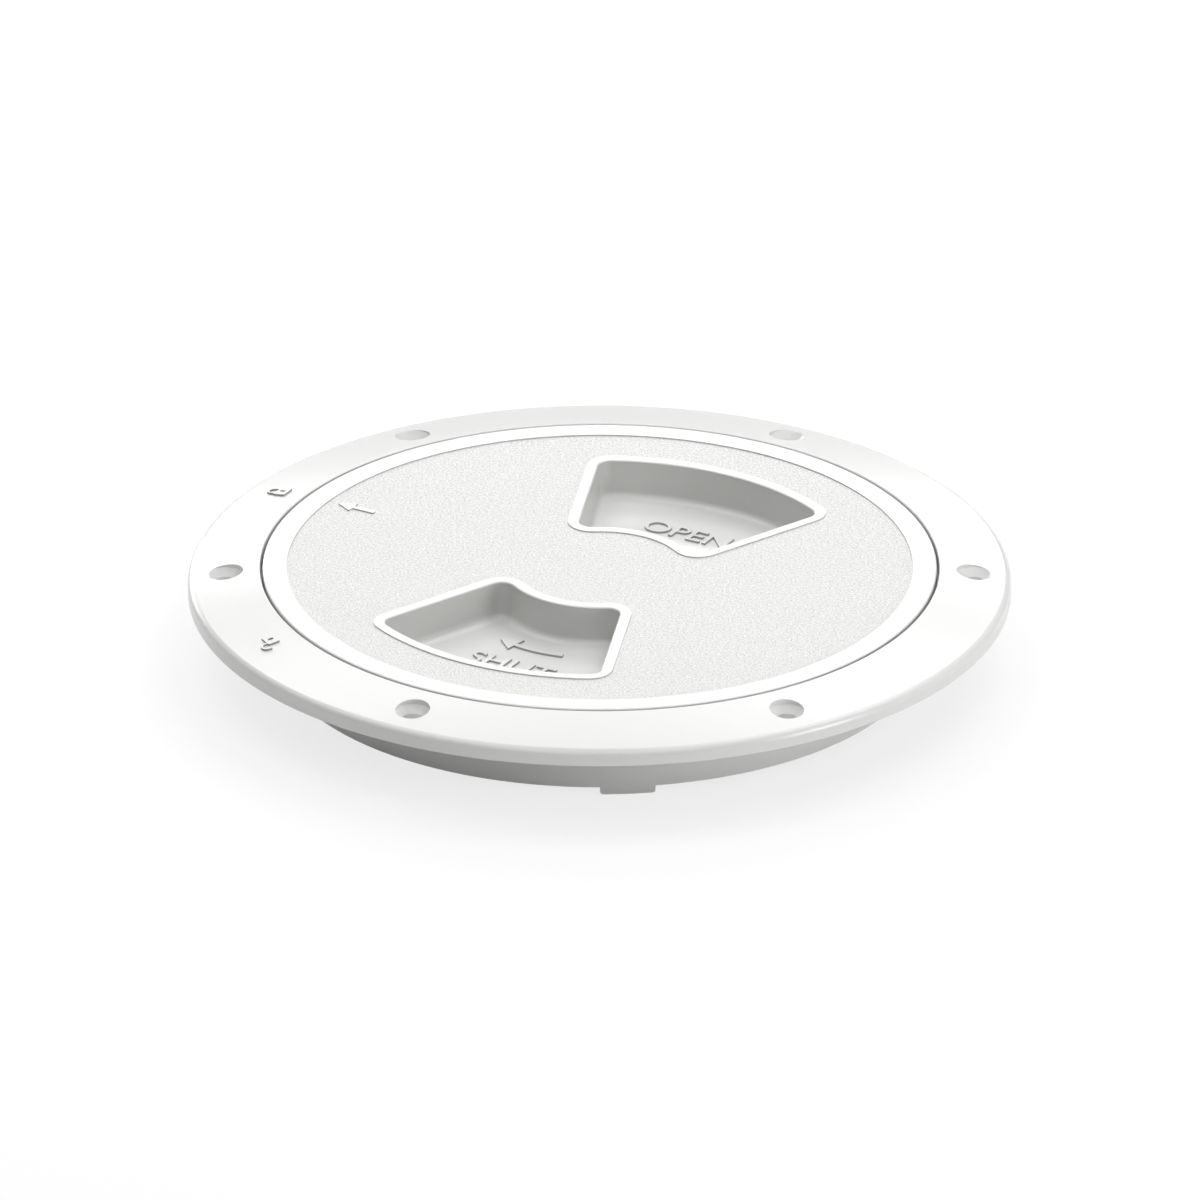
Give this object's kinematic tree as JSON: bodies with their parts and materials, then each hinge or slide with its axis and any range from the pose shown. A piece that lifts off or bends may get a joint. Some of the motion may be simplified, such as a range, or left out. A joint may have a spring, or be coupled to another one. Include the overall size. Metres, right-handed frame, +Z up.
{
  "type": "deck inspection plate",
  "caption": "Round deck inspection plate: a domed flange with countersunk holes, a barrel through the deck, and a sealed lid that twists open by fan-shaped finger pockets.",
  "frame": {"origin": "centre of the flange's underside, which lies on the deck", "axes": "+Z up out of the deck along the barrel's axis, +X through a screw hole, the lid shown shut"},
  "size_m": [0.203, 0.203, 0.0247],
  "materials": {
    "white_plastic": "satin, with a spark-eroded grain on the lid's face",
    "seal_rubber": "matte"
  },
  "bodies": {
    "ring": {"deck_ring": "white_plastic"},
    "seal": {"o_ring": "seal_rubber"},
    "lid": {"lid": "white_plastic"}
  },
  "joints": [
    {"name": "lid_rise", "type": "slide", "parent": "ring", "child": "seal", "axis": [0, 0, 1], "range_m": [0, 0.0025]},
    {"name": "lid_turn", "type": "hinge", "parent": "seal", "child": "lid", "pos_m": [0, 0, 0], "axis": [0, 0, 1], "range_deg": [0, 57.5]}
  ],
  "couplings": [
    {"joint": "lid_rise", "follows": "lid_turn", "m_per_rad": 0.002491}
  ]
}
